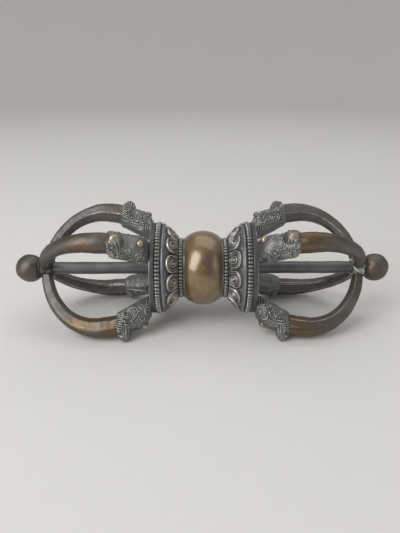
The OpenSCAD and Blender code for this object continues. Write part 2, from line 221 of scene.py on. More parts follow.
def wobble(points, size, seed, waves=14):
    """Slow unevenness of about unit height, from a few crossing waves."""
    draw = np.random.default_rng(seed)
    total = np.zeros(points.shape[:-1])
    for _ in range(waves):
        direction = draw.normal(size=3)
        direction /= np.linalg.norm(direction)
        length = size * draw.uniform(0.7, 1.6)
        total += np.sin(points @ direction * TURN / length + draw.uniform(0, TURN))
    return total / math.sqrt(waves / 2)


def uneven(points, waves, seed):
    """Unevenness in millimetres, from heights and lengths of waves."""
    return sum(height * wobble(points, size, seed + k) for k, (height, size) in enumerate(waves))


def curve_through(rows, at):
    """Values between the rows of a table, on a smooth curve through them."""
    rows = np.array(rows, float)
    last = len(rows) - 1
    i = np.clip(np.searchsorted(rows[:, 0], at) - 1, 0, last - 1)
    t = ((at - rows[i, 0]) / (rows[i + 1, 0] - rows[i, 0]))[:, None]
    a = rows[np.maximum(i - 1, 0), 1:]
    b = rows[i, 1:]
    c = rows[i + 1, 1:]
    d = rows[np.minimum(i + 2, last), 1:]
    return b + 0.5 * t * (c - a + t * (2 * a - 5 * b + 4 * c - d + t * (3 * (b - c) + d - a)))


def line_distance(a, b, points):
    """Distance of each place (a, b) from a smooth line through a few points."""
    rows = [(k, *p) for k, p in enumerate(points)]
    path = curve_through(rows, np.linspace(0, len(points) - 1, 6 * len(points)))
    nearest = np.full(np.shape(a), np.inf)
    for (a0, b0), (a1, b1) in zip(path[:-1], path[1:]):
        da = a1 - a0
        db = b1 - b0
        t = np.clip(((a - a0) * da + (b - b0) * db) / (da * da + db * db), 0, 1)
        nearest = np.minimum(nearest, np.hypot(a - a0 - t * da, b - b0 - t * db))
    return nearest


def spiral_distance(da, db, outer, inner, turns, start):
    """Distance of each place from a spiral about the zero point that winds inward from its outer end."""
    radius = np.hypot(da, db)
    angle = (np.arctan2(db, da) - start) % TURN
    nearest = np.full(np.shape(da), np.inf)
    for lap in range(math.ceil(turns)):
        share = (angle + TURN * lap) / (TURN * turns)
        arm = outer + (inner - outer) * share
        nearest = np.where(share <= 1, np.minimum(nearest, np.abs(radius - arm)), nearest)
    return nearest


def normals(grid, ring=False):
    """Outward direction at each point of a grid."""
    around = np.roll(grid, -1, 1) - np.roll(grid, 1, 1)
    along = np.roll(grid, -1, 0) - np.roll(grid, 1, 0) if ring else np.gradient(grid, axis=0)
    out = np.cross(around, along)
    return out / np.maximum(np.linalg.norm(out, axis=-1, keepdims=True), 1e-9)


def swell(grid, height, ring=False):
    """A grid whose points are moved outward by a height."""
    return grid + normals(grid, ring) * height[..., None]


def prominence(height, passes, ring=False):
    """How far each point stands over its neighbours, smoothed in some passes, from -1 to 1."""
    soft = height.copy()
    for _ in range(passes):
        soft = (soft + np.roll(soft, 1, 1) + np.roll(soft, -1, 1)) / 3
        padded = np.pad(soft, ((1, 1), (0, 0)), mode="wrap" if ring else "edge")
        soft = (padded[:-2] + soft + padded[2:]) / 3
    return np.clip((height - soft) / FULL_RELIEF, -1, 1)


def lathe(x, radius, columns):
    """A grid turned about the axis from places along it and radii, which may differ by column."""
    angle = np.arange(columns) * TURN / columns
    x = np.broadcast_to(np.asarray(x, float)[:, None], (len(x), columns))
    radius = np.asarray(radius, float)
    radius = np.broadcast_to(radius if radius.ndim == 2 else radius[:, None], x.shape)
    return np.stack((x, radius * np.cos(angle), radius * np.sin(angle)), -1)


def soften(outline, radius, gap):
    """A closed outline with its sharp corners rounded off and no wide gaps between its points."""
    outline = np.array(outline, float)
    rounded = []
    for before, corner, after in zip(np.roll(outline, 1, 0), outline, np.roll(outline, -1, 0)):
        come = corner - before
        go = after - corner
        come_length = np.linalg.norm(come)
        go_length = np.linalg.norm(go)
        if come @ go > math.cos(CORNER_BEND) * come_length * go_length:
            rounded.append(corner)
            continue
        start = corner - come * min(CORNER_SHARE, radius / come_length)
        end = corner + go * min(CORNER_SHARE, radius / go_length)
        for t in np.linspace(0, 1, CORNER_STEPS):
            rounded.append((1 - t) ** 2 * start + 2 * t * (1 - t) * corner + t * t * end)
    filled = []
    for here, there in zip(rounded, rounded[1:] + rounded[:1]):
        parts = max(1, math.ceil(np.linalg.norm(there - here) / gap))
        filled += [here + (there - here) * k / parts for k in range(parts)]
    return np.array(filled)


def turned(outline, columns, corner, waves, seed):
    """A closed ring turned from (x, r) corners that run along its outside in the axis's direction."""
    outline = soften(outline, corner, OUTLINE_GAP)
    grid = lathe(outline[:, 0], outline[:, 1], columns)
    height = uneven(grid, waves, seed)
    return Form(swell(grid, height, True), TURNED_RELIEF * height, True)


# Pieces in the frame

def place_axes(end, degrees):
    """Directions of a piece drawn along X with its outer side up, set at one of the four places."""
    along = np.array((end, 0, 0), float)
    outward = np.array((0, math.cos(math.radians(degrees)), math.sin(math.radians(degrees))))
    return np.stack((along, np.cross(outward, along), outward))


def set_at(form, axes):
    """A form turned into place."""
    return form._replace(grid=form.grid @ axes)


def add_object(name, data):
    """An object in the scene."""
    made = bpy.data.objects.new(name, data)
    scene.collection.objects.link(made)
    return made


def add_piece(node, material, forms):
    """One mesh from closed grids in millimetres, which takes the place of a node."""
    points = []
    faces = []
    traits = {"relief": [], "rub": []}
    start = 0
    for form in forms:
        rows, columns = form.grid.shape[:2]
        index = start + np.arange(rows * columns).reshape(rows, columns)
        lower = index if form.ring else index[:-1]
        upper = np.roll(index, -1, 0) if form.ring else index[1:]
        corners = (lower, np.roll(lower, -1, 1), np.roll(upper, -1, 1), upper)
        faces += np.stack(corners, -1).reshape(-1, 4).tolist()
        if not form.ring:
            faces += [index[0][::-1].tolist(), index[-1].tolist()]
        points.append(form.grid.reshape(-1, 3))
        for name, values in traits.items():
            values.append(np.broadcast_to(getattr(form, name), (rows, columns)).reshape(-1))
        start += rows * columns
    mesh = bpy.data.meshes.new(node + "_form")
    mesh.from_pydata((np.concatenate(points) * MM).tolist(), [], faces)
    mesh.shade_smooth()
    mesh.set_sharp_from_angle(angle=SHARP_BEND)
    for name, values in traits.items():
        attribute = mesh.attributes.new(name, "FLOAT", "POINT")
        attribute.data.foreach_set("value", np.concatenate(values).astype(np.float32))
    mesh.materials.append(material)
    piece = add_object(node + "_form", mesh)
    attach(piece, "root")
    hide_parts(node)


# The turned and beaded hub

GLOBE_STEPS = 61
# The groove between globe and lip, and how far its dirt and painted shade spread over the globe
LIP_GROOVE = 0.1
LIP_DIRT_AND_SHADE = 0.3
SPINDLE_STEPS = 220
# How much thinner the spindle is drawn, to stay within its solid
SPINDLE_SPARE = 0.06
# Beads of the ring and bars of the rim: their squareness, how far one is out of place and the share of
# its room that it fills, across and along, the smallest, and the step at their foot
BEAD_COLUMNS = 14
BEAD_STEPS = 27
BEAD_SQUARE = 2.2
RING_SQUARE = 2.4
RIM_SQUARE = 4.0
BEAD_STRAY = (0.05, 0.04)
BEAD_FILL = (0.95, 0.96)
BEAD_LEAST = 0.88
BEAD_FOOT = 0.12
# The band: the step at each side, and the roll between them
BAND_STEP = 0.25
BAND_ROLL = 0.75
BAND_FULL = 0.8
BAND_STEPS = 13
# The plate: the rounding of its edges, and the wear along the outer one
PLATE_CORNER = 0.45
PLATE_WORN_WIDE = 0.7
PLATE_WORN = 0.9


def globe_form(seed):
    """A barrel with a plain lip at each end, past a fine groove."""
    sag = GLOBE_R - GLOBE_EDGE_R
    arc_r = (GLOBE_ROUND ** 2 + sag ** 2) / (2 * sag)
    x = np.linspace(-GLOBE_ROUND, GLOBE_ROUND, GLOBE_STEPS)
    barrel = list(zip(x, GLOBE_R - arc_r + np.sqrt(arc_r ** 2 - x ** 2)))
    lip_start = GLOBE_ROUND + LIP_GROOVE
    lip = [(lip_start, LIP_R), (GLOBE_END, LIP_R), (GLOBE_END, SPINDLE_R)]
    mirrored = [(-x, r) for x, r in reversed(lip)]
    form = turned(mirrored + barrel + lip, columns=192, corner=FINE_CORNER, waves=GLOBE_UNEVEN, seed=seed)
    # The groove and the globe beside it are darkened with dirt and painted shade
    in_groove = smooth(np.abs(form.grid[..., 0]), GLOBE_ROUND - LIP_DIRT_AND_SHADE, lip_start)
    return form._replace(relief=form.relief - GROOVE_DIRT_AND_SHADE * in_groove)


def spindle_form(seed):
    """The rod from ball to ball, uneven across but not in length."""
    x = np.linspace(-SPINDLE_END, SPINDLE_END, SPINDLE_STEPS)
    grid = lathe(x, np.full(len(x), SPINDLE_R - SPINDLE_SPARE), columns=48)
    height = uneven(grid, SPINDLE_UNEVEN, seed)
    grid[..., 1:] = swell(grid, height)[..., 1:]
    return Form(grid, CAST_RELIEF * height, False)


def bead_field(x, start, end, count, columns, square, seed):
    """Height, from 0 to 1, of a row of beads or bars around a ring."""
    draw = np.random.default_rng(seed)
    phase = np.arange(columns) * count / columns
    bead = phase.astype(int)
    stray_across, stray_along = BEAD_STRAY
    across = 2 * (phase - bead - 0.5 + draw.uniform(-stray_across, stray_across, count)[bead])
    size = draw.uniform(BEAD_LEAST, 1.0, count)[bead]
    along = (2 * x - start - end) / (end - start) + draw.uniform(-stray_along, stray_along, count)[bead]
    left = 1 - np.abs(across / BEAD_FILL[0]) ** BEAD_SQUARE - np.abs(along / BEAD_FILL[1]) ** square
    return size * np.sqrt(np.clip(left, 0, 1))


def beaded_form(start, end, core_r, top_r, hole_r, count, square, seed):
    """A ring with a row of beads or bars around it."""
    columns = count * BEAD_COLUMNS
    x = np.concatenate(([start, start], np.linspace(start, end, BEAD_STEPS), [end, end]))
    field = bead_field(x[:, None], start, end, count, columns, square, seed)
    field[[0, 1, -2, -1]] = 0
    radius = core_r + (top_r - core_r) * field
    radius[[0, -1]] = hole_r
    radius[[1, -2]] = core_r - BEAD_FOOT
    grid = lathe(x, radius, columns)
    return Form(grid, prominence((top_r - core_r) * field, passes=6, ring=True), True)


def cords(distance, rows):
    """Height of cords that lie at set distances, from rows of distance, half width and height."""
    return sum(height * ridge(distance - at, half) for at, half, height in rows)


# A petal, in millimetres around the collar and down its slope from the bead ring. It rises and is
# hollowed over distances from its edge, and its rims are cords along the edge
PETAL_HALF = 3.5
PETAL_ROUND_AT = 3.45
PETAL_TAPER = 0.14
PETAL_TALL = 0.85
PETAL_EDGE = (-0.15, 0.4)
PETAL_HOLLOW = 0.3
PETAL_HOLLOW_EDGE = (0.6, 0.8)
PETAL_RIMS = [(0.4, 0.4, 0.16), (1.2, 0.34, 0.36)]
# Its scroll, with the distances from the petal's edge at which there is room for it
VOLUTE_AT = 3.1
VOLUTE_STRETCH = 1.3
VOLUTE_R = (1.65, 0.75)
VOLUTE_TURNS = 1.2
VOLUTE_START = 4.2
VOLUTE_HALF = 0.42
VOLUTE_TALL = 0.5
VOLUTE_BEAD = (0.0, 0.6, 0.6)
VOLUTE_ROOM = (1.25, 1.6)
VOLUTE_RUB_R = 1.1
# The bud and the leaf between two petals
BUD_AT = 1.0
BUD_STRETCH = 0.7
BUD_HALF = 0.75
BUD_TALL = 0.55
LEAF_ALONG = (4.6, 6.4)
LEAF_HALF = 0.5
LEAF_TALL = 0.3
# How far a petal is out of place, and its scroll out of turn
PETAL_STRAY = 0.12
VOLUTE_STRAY = 0.4
PETAL_COLUMNS = 64
COLLAR_STEPS = 64
# The share of the slope over which petals fade at each end
PETAL_FADE = (0.05, 0.04)


def petal_relief(across, along, half_pitch, seed):
    """Height over the collar of a petal and of the buds beside it, and where it is rubbed."""
    draw = np.random.default_rng(seed)
    between = np.abs(across) - half_pitch
    bud = BUD_TALL * ridge(np.hypot(between, BUD_STRETCH * (along - BUD_AT)), BUD_HALF)
    leaf = LEAF_TALL * ridge(between, LEAF_HALF) * smooth(along, *LEAF_ALONG)
    across = across + draw.uniform(-PETAL_STRAY, PETAL_STRAY)
    along = along + draw.uniform(-PETAL_STRAY, PETAL_STRAY)
    beyond = along - PETAL_ROUND_AT
    inside = PETAL_HALF - np.hypot(across, np.maximum(beyond, 0)) + PETAL_TAPER * np.minimum(beyond, 0)
    body = PETAL_TALL * smooth(inside, *PETAL_EDGE) - PETAL_HOLLOW * smooth(inside, *PETAL_HOLLOW_EDGE)
    down = (along - VOLUTE_AT) / VOLUTE_STRETCH
    start = VOLUTE_START + draw.uniform(-VOLUTE_STRAY, VOLUTE_STRAY)
    coil = VOLUTE_TALL * ridge(spiral_distance(across, down, *VOLUTE_R, VOLUTE_TURNS, start), VOLUTE_HALF)
    from_middle = np.hypot(across, down)
    scroll = np.maximum(coil, cords(from_middle, [VOLUTE_BEAD])) * smooth(inside, *VOLUTE_ROOM)
    petal = body + cords(inside, PETAL_RIMS) + scroll
    return np.maximum(petal, np.maximum(bud, leaf)), ridge(from_middle, VOLUTE_RUB_R)


def collar_form(seed, turn):
    """The cone of petals, closed by its bore."""
    columns = PETALS * PETAL_COLUMNS
    length = math.hypot(COLLAR_END - RING_END, COLLAR_BIG_R - COLLAR_SMALL_R)
    slope_x = (COLLAR_BIG_R - COLLAR_SMALL_R) / length
    slope_r = (COLLAR_END - RING_END) / length
    share = np.linspace(0, 1, COLLAR_STEPS)
    half_pitch = math.pi / PETALS * (COLLAR_SMALL_R + COLLAR_BIG_R) / 2
    across = np.linspace(-half_pitch, half_pitch, PETAL_COLUMNS, endpoint=False)
    across, along = np.meshgrid(across, share * length)
    petals = [petal_relief(across, along, half_pitch, seed + k) for k in range(PETALS)]
    height, rub = np.roll(np.concatenate(petals, 2), round(turn / TURN * columns), 2)
    height = height * (smooth(share, 0, PETAL_FADE[0]) * smooth(1 - share, 0, PETAL_FADE[1]))[:, None]
    x = RING_END + share * (COLLAR_END - RING_END)
    radius = COLLAR_SMALL_R + share * (COLLAR_BIG_R - COLLAR_SMALL_R)
    height += uneven(lathe(x, radius, columns), COLLAR_UNEVEN, seed)
    grid = lathe(x, radius[:, None] + height * slope_r, columns)
    grid[..., 0] = np.clip(grid[..., 0] - height * slope_x, RING_END, COLLAR_END)
    bore = lathe((COLLAR_END, RING_END), (SPIGOT_R, SPIGOT_R), columns)
    plain = np.zeros((len(bore), columns))
    relief = np.concatenate((prominence(height, passes=7), plain))
    return Form(np.concatenate((grid, bore)), relief, True, np.concatenate((rub, plain)))


def band_form(seed):
    """A smooth roll between a narrow step at each side."""
    step_r = BAND_R - BAND_ROLL
    turn = np.linspace(0, math.pi, BAND_STEPS)
    middle = (BAND_START + BAND_END) / 2
    half = (BAND_END - BAND_START) / 2 - BAND_STEP
    roll = [(middle - half * math.cos(t), step_r + BAND_ROLL * math.sin(t) ** BAND_FULL) for t in turn]
    outline = [(BAND_START, BOSS_R), (BAND_START, step_r), *roll, (BAND_END, step_r), (BAND_END, BOSS_R)]
    return turned(outline, columns=260, corner=FINE_CORNER, waves=BAND_UNEVEN, seed=seed)


def plate_form(seed):
    """The flange that the heads stand on, with a worn outer edge."""
    outline = [(RIM_END, SPINDLE_R), (RIM_END, PLATE_R), (PLATE_END, PLATE_R), (PLATE_END, SPINDLE_R)]
    form = turned(outline, columns=220, corner=PLATE_CORNER, waves=PLATE_UNEVEN, seed=seed)
    radius = np.hypot(form.grid[..., 1], form.grid[..., 2])
    from_edge = np.hypot(form.grid[..., 0] - PLATE_END, radius - PLATE_R)
    return form._replace(relief=form.relief + PLATE_WORN * ridge(from_edge, PLATE_WORN_WIDE))


# The makara heads

HEAD_STEPS = 116
HEAD_COLUMNS = 300
# Half height and half width of a usual section, and the angles tried to space its points evenly
HEAD_HALF = (6.2, 4.4)
FINE_ANGLES = 4001
# The share of the length from which a jaw rises, and how it narrows over distances from plate and axis
JAW_RISE_FROM = 0.3
JAW_NARROW = 0.2
JAW_ALONG = (8.0, 13.5)
JAW_DOWN = (22.5, 18.5)
# How far the upper lip stays behind the lower, over shares of the length and distances from the axis
LIP_BEHIND = 0.9
LIP_ALONG = (0.7, 1.0)
LIP_UP = (18.5, 22.0)
LIP_BULGE = 0.15
# Lines on a cheek: half width, height, and points as distances from the plate and from the axis
CHEEK_LINES = [
    (0.5, 0.42, [
        (2.8, 16.9), (5.5, 17.5), (9.0, 18.4), (12.0, 19.6), (13.2, 20.3), (13.0, 21.1), (12.3, 20.9)]),
    (0.45, -0.4, [(3.2, 16.1), (6.0, 16.6), (9.2, 17.5), (12.2, 18.8), (13.7, 19.5)]),
    (0.62, 0.55, [(10.9, 23.4), (9.2, 23.4), (6.8, 22.7), (5.2, 21.3), (4.7, 19.8)]),
    (0.4, 0.32, [(9.6, 24.6), (7.4, 24.0), (5.0, 22.8), (3.9, 21.5)]),
    (0.4, 0.4, [(10.2, 22.8), (9.9, 24.4), (9.7, 26.4), (9.9, 28.8)]),
    (0.34, 0.3, [(9.4, 24.3), (8.9, 25.4), (8.6, 26.8), (8.8, 28.4)]),
    (0.3, 0.24, [(8.4, 24.9), (8.0, 25.5), (7.8, 26.6)]),
    (0.34, 0.22, [(4.6, 15.1), (7.6, 16.1), (10.4, 17.2)]),
]
# Rows of like lines on a cheek, the teeth, the gills and the mane: how many, half width, height, points of
# the first line, and how far each point moves from one line to the next
CHEEK_ROWS = [
    (9, 0.32, 0.5, [(10.7, 20.75), (11.5, 20.52), (12.4, 20.05)], [(0.09, 0.76)] * 3),
    (4, 0.36, 0.32, [(0.5, 12.8), (1.3, 14.6), (1.2, 16.6)], [(0.9, 0.4), (0.9, 0.2), (0.9, 0.0)]),
    (4, 0.42, 0.34, [(0.3, 17.4), (1.3, 18.2), (1.7, 19.4)], [(0.0, 1.1), (0.0, 1.15), (0.0, 1.2)]),
]
# Lines on the crown: half width, height, and points as distances from the plate and from its middle
CROWN_LINES = [
    (0.45, 0.3, [(4.4, 2.3), (6.2, 2.7), (7.6, 2.8), (8.4, 2.4)]),
    (0.36, 0.26, [(3.8, 1.2), (5.0, 1.8), (6.4, 1.9), (7.2, 1.4)]),
    (0.36, 0.26, [(0.8, 2.6), (2.4, 3.1), (4.2, 3.4)]),
    (0.3, 0.24, [(7.4, 0.0), (7.3, 1.0), (7.0, 1.9)]),
    (0.32, 0.26, [(8.0, 0.0), (7.9, 1.4), (7.6, 2.4)]),
    (0.6, -0.1, [(9.0, 0.0), (10.6, 0.0), (12.2, 0.0)]),
]
# Eye and nostril: place from the plate and from the axis, radius, and cords around the middle
EYE = (8.9, 20.6)
EYE_R = 2.1
EYE_CORDS = [(1.72, 0.36, 0.4), (1.0, 0.28, 0.32), (0.0, 0.6, 0.48)]
NOSTRIL = (11.6, 27.9)
NOSTRIL_R = 1.3
NOSTRIL_CORDS = [(0.95, 0.34, 0.36), (0.0, 0.42, -0.35)]
# Scrolls on a cheek: distances from the plate and from the axis, and radius
SCROLLS = [(3.0, 21.7, 1.5), (4.1, 18.4, 1.35), (6.4, 24.0, 0.9), (6.2, 19.4, 0.85)]
SCROLL_MARGIN = 0.2
SCROLL_INNER = 0.45
SCROLL_TURNS = 1.3
SCROLL_START = 4.4
SCROLL_HALF = 0.36
SCROLL_TALL = 0.38
SCROLL_BEAD = (0.0, 0.42, 0.28)
# How far the carving drifts, which directions count as cheek and crown, and the plain strip at the plate
CARVING_DRIFT = [(0.12, 5.0)]
CHEEK_FACING = (0.35, 0.7)
CROWN_FACING = (0.5, 0.8)
PLAIN_FOOT = 0.4
# Distances from the axis over which a knob is rubbed, and from the plate over which a head stretches
RUB_UP = (27.6, 29.8)
STRETCH_ALONG = (4.0, 12.0)
# How dark the inside of the mouth is, as relief
MOUTH_DIRT = -0.3
# How far the edge of a flat worn on a knob is rounded
REST_ROUND = 0.2
# The studs: a dome on a drum that is sunk in the crown, brighter toward the top
STUD_R = 1.5
STUD_DRUM = 0.7
STUD_SINK = 0.9
STUD_LEAN = math.radians(25)
STUD_BRIGHT = (0.9, 2.0)
STUD_DARK = 0.3
STUD_STEPS = 16
# How far short of its pole the dome stops, in radians
STUD_POLE = 0.02


def inset(height, away, radius, ornament):
    """Carving in which a round ornament takes the place of what was there."""
    return np.where(away < radius, 0, height) + ornament


def cheek_relief(x, r):
    """Carving on a cheek, in millimetres, at distances from the plate and from the axis."""
    height = np.zeros(x.shape)
    for half, rise, points in CHEEK_LINES:
        height += rise * ridge(line_distance(x, r, points), half)
    from_eye = np.hypot(x - EYE[0], r - EYE[1])
    height = inset(height, from_eye, EYE_R, cords(from_eye, EYE_CORDS))
    for count, half, rise, points, steps in CHEEK_ROWS:
        for k in range(count):
            line = [(a + k * da, b + k * db) for (a, b), (da, db) in zip(points, steps)]
            height = np.maximum(height, rise * ridge(line_distance(x, r, line), half))
    for at_x, at_r, outer in SCROLLS:
        away = np.hypot(x - at_x, r - at_r)
        coil = spiral_distance(x - at_x, r - at_r, outer, SCROLL_INNER, SCROLL_TURNS, SCROLL_START)
        scroll = SCROLL_TALL * ridge(coil, SCROLL_HALF) + cords(away, [SCROLL_BEAD])
        height = inset(height, away, outer + SCROLL_MARGIN, scroll)
    from_nostril = np.hypot(x - NOSTRIL[0], r - NOSTRIL[1])
    return inset(height, from_nostril, NOSTRIL_R, cords(from_nostril, NOSTRIL_CORDS))


def crown_relief(x, y):
    """Carving on the crown, in millimetres, at distances from the plate and from its middle line."""
    height = np.zeros(x.shape)
    for half, rise, points in CROWN_LINES:
        height += rise * ridge(line_distance(x, np.abs(y), points), half)
    return height


def head_section(angle):
    """Height and side, from -1 to 1, of points around a head's section."""
    power = 2 / HEAD_SQUARE
    return signed_power(np.cos(angle), power), -signed_power(np.sin(angle), power)


def even_angles(count, tall, wide):
    """Angles that space points evenly around a head's section."""
    fine = np.linspace(0, TURN, FINE_ANGLES)
    up, side = head_section(fine)
    length = np.concatenate(([0], np.cumsum(np.hypot(tall * np.diff(up), wide * np.diff(side)))))
    return np.interp(np.linspace(0, length[-1], count, endpoint=False), length, fine)


def head_blank(angle, head):
    """The smooth head: a jaw that narrows toward the mouth, and the knob of the trunk over it."""
    share = np.linspace(0, 1, HEAD_STEPS)[:, None]
    inner, outer, half = curve_through(HEAD_ROWS, share[:, 0]).T[:, :, None]
    inner = inner + head.jaw * smooth(share, JAW_RISE_FROM, 1.0)
    up, side = head_section(angle)
    r = (inner + outer) / 2 + (outer - inner) / 2 * up
    x = share * HEAD_LEN
    jaw = smooth(x, *JAW_ALONG) * smooth(r, *JAW_DOWN)
    side = half * side * (1 - JAW_NARROW * jaw)
    x = x - LIP_BEHIND * smooth(share, *LIP_ALONG) * smooth(r, *LIP_UP)
    along = np.abs((x - KNOB_X) / KNOB_LONG) ** KNOB_SQUARE
    inside = 1 - along - ((side - head.knob_y) / KNOB_WIDE) ** 2
    over = KNOB_FOOT_R + KNOB_TALL * np.sqrt(np.clip(inside, 0, 1)) - r
    knob = KNOB_BLEND * np.logaddexp(0, over / KNOB_BLEND)
    r = r + np.where((up > 0) & (inside > 0), knob, 0)
    return np.stack((PLATE_END + x, side, r), -1)


def mouth_rows(rim, angle):
    """Rounded lips and the hollow that the prong comes out of."""
    up, side = head_section(angle)
    hollow = np.stack((rim[:, 0], MOUTH_WIDE * side, MOUTH_MID_R + MOUTH_TALL * up), -1)
    rows = []
    for t in (0.25, 0.5, 0.75, 1.0):
        row = rim + (hollow - rim) * t
        row[:, 0] += LIP_BULGE * math.sin(math.pi * t)
        rows.append(row)
    for t in (0.3, 0.65, 1.0):
        row = hollow.copy()
        row[:, 0] += (MOUTH_X - MOUTH_DEPTH - hollow[:, 0]) * t
        rows.append(row)
    return np.array(rows)


def head_form(seed, head):
    """A carved head with its mouth, drawn along X from the plate with its outer side up."""
    angle = even_angles(HEAD_COLUMNS, *HEAD_HALF)
    grid = head_blank(angle, head)
    out = normals(grid)
    x = grid[..., 0] - PLATE_END
    drift = uneven(grid, CARVING_DRIFT, seed)
    cheek_drift = uneven(grid, CARVING_DRIFT, seed + 1)
    cheek = smooth(np.abs(out[..., 1]), *CHEEK_FACING)
    crown = smooth(out[..., 2], *CROWN_FACING)
    height = cheek * cheek_relief(x + cheek_drift, grid[..., 2] + drift)
    height += head.crown * crown * crown_relief(x + drift, grid[..., 1])
    height *= smooth(x, 0, PLAIN_FOOT)
    height += uneven(grid, HEAD_UNEVEN, seed + 2)
    rub = head.rub * smooth(grid[..., 2], *RUB_UP)
    grid = grid + out * height[..., None]
    grid[..., 0] += head.stretch * smooth(x, *STRETCH_ALONG)
    mouth = mouth_rows(grid[-1], angle)
    inside = np.full((len(mouth), HEAD_COLUMNS), MOUTH_DIRT)
    relief = np.concatenate((prominence(height, passes=5), inside))
    rub = np.concatenate((rub, np.zeros_like(inside)))
    return Form(np.concatenate((grid, mouth)), relief, False, rub)


def flatten_rests(form):
    """Wears the knobs flat where the dorje lies on them, with no hard edge around the flat."""
    grid = form.grid.copy()
    spare = (REST_H - np.abs(grid[..., 1:])) / REST_ROUND
    grid[..., 1:] = np.sign(grid[..., 1:]) * (REST_H - REST_ROUND * np.logaddexp(0, spare))
    return form._replace(grid=grid)


def stud_form(seed, head):
    """A domed stud that leans toward the plate, drawn with its outer side up."""
    turn = np.linspace(0, math.pi / 2 - STUD_POLE, STUD_STEPS)
    up = np.concatenate(([0, STUD_DRUM * 0.9], STUD_DRUM + STUD_R * np.sin(turn)))
    radius = np.concatenate(([STUD_R, STUD_R], STUD_R * np.cos(turn)))
    grid = lathe(up, radius, columns=40)[..., [2, 1, 0]]
    grid[..., 0] *= -1
    grid = swell(grid, uneven(grid, STUD_UNEVEN, seed))
    grid[..., 2] -= STUD_SINK
    lean = np.array((
        (math.cos(STUD_LEAN), 0, math.sin(STUD_LEAN)), (0, 1, 0),
        (-math.sin(STUD_LEAN), 0, math.cos(STUD_LEAN))))
    crown_r = curve_through(HEAD_ROWS, np.array([head.stud_x / HEAD_LEN]))[0, 1]
    seat = np.array((PLATE_END + head.stud_x, head.stud_y, crown_r))
    return Form(grid @ lean + seat, smooth(up, *STUD_BRIGHT)[:, None] - STUD_DARK, False)


# The prongs and their tips

PRONG_STEPS = 150
BACK_STEPS = 12
SECTION_CORNER = 0.3
SECTION_GAP = 0.4
# How worn each edge of the section is, how wide that shows, and how much it counts as relief
WORN_EDGES = {(BACK_SHARE, 0.5): 0.5, PRONG_INNER[0]: 1.0, PRONG_INNER[2]: 1.0}
WORN_WIDE = 0.36
WORN_RELIEF = 0.8
# How much deeper and wider a prong grows toward the mouth, and from which share of its sweep
PRONG_GROWTH = 0.8
GROWTH_FROM = 0.45
# How far the back is let down where it enters the mouth, and between which angles
MOUTH_SINK = 0.45
SINK_ALONG = (0.3, -0.2)
# Over which shares of its sweep a prong is brown, how brown, and in which patches
BROWN_ALONG = (0.62, 0.05)
BROWN_EVEN = 0.75
BROWN_PATCHES = [(0.25, 12.0)]
# The joint under the ball, and its lumps between the prongs, without and with braze
TIP_LUMP = 0.2
BRAZE_LUMP = 1.1
LUMP_SQUARE = 4
LUMP_UNEVEN = [(0.16, 1.8)]
TIP_UNEVEN = [(0.06, 0.7)]
TIP_SET = 0.15
TIP_STEPS = 48
TIP_COLUMNS = 160
# The ball: how much smaller it is drawn, to stay within its solid, how far short of its pole it stops,
# in radians, and its brown
BALL_SPARE = 0.07
BALL_POLE = 0.01
BALL_BROWN = 0.45
BALL_PATCHES = [(0.2, 9.0)]
POINT_R = 3.2
BALL_STEPS = 70
# Its neck, with rows as distances along it and in from the ball
NECK_LONG = 0.9
NECK_ROWS = [(0.0, 1.0), (0.0, 0.35), (0.4, 0.45)]
# Distances from the start of the neck over which its dirt and painted shade fade out
NECK_DIRT_AND_SHADE = (1.3, 0.7)


def prong_section():
    """Points around a prong as shares of its depth and width, and how worn each is."""
    half = []
    for t in np.linspace(0, math.pi / 2, BACK_STEPS):
        deep = 1 - math.cos(t) ** (2 / BACK_SQUARE)
        wide = math.sin(t) ** (2 / BACK_SQUARE)
        half.append((BACK_SHARE * deep, wide / 2))
    half += PRONG_INNER
    scale = np.array((PRONG_DEPTH[0], PRONG_WIDTH[0]))
    corners = half + [(d, -w) for d, w in reversed(half[1:])]
    section = soften(np.array(corners) * scale, SECTION_CORNER, SECTION_GAP)
    worn = np.zeros(len(section))
    for (deep, wide), share in WORN_EDGES.items():
        away = np.hypot(section[:, 0] - deep * scale[0], np.abs(section[:, 1]) - wide * scale[1])
        worn = np.maximum(worn, share * ridge(away, WORN_WIDE))
    return section / scale, worn


def prong_form(seed, brown):
    """A curved prong, drawn along X from the mouth with its outer side up."""
    turn = np.linspace(PRONG_FROM, PRONG_TO, PRONG_STEPS)
    share = (np.maximum(turn, 0) / (math.pi / 2))[:, None]
    growth = PRONG_GROWTH * smooth(share, GROWTH_FROM, 0.0)
    depth = PRONG_DEPTH[0] + (PRONG_DEPTH[1] - PRONG_DEPTH[0]) * share + growth
    width = PRONG_WIDTH[0] + (PRONG_WIDTH[1] - PRONG_WIDTH[0]) * share + growth
    back = np.stack((BELLY_X + REACH * np.sin(turn), BELLY_R * np.cos(turn)), -1)
    back[:, 1] -= MOUTH_SINK * smooth(turn, *SINK_ALONG)
    out = np.stack((BELLY_R * np.sin(turn), REACH * np.cos(turn)), -1)
    out /= np.linalg.norm(out, axis=-1, keepdims=True)
    section, worn = prong_section()
    down = depth * section[:, 0]
    grid = np.stack((
        back[:, :1] - out[:, :1] * down, -width * section[:, 1], back[:, 1:] - out[:, 1:] * down), -1)
    height = uneven(grid, PRONG_UNEVEN, seed)
    patches = BROWN_EVEN + uneven(grid, BROWN_PATCHES, seed + 2)
    rub = np.clip(brown * smooth(share, *BROWN_ALONG) * patches, 0, 1)
    return Form(swell(grid, height), WORN_RELIEF * worn + CAST_RELIEF * height, False, rub)


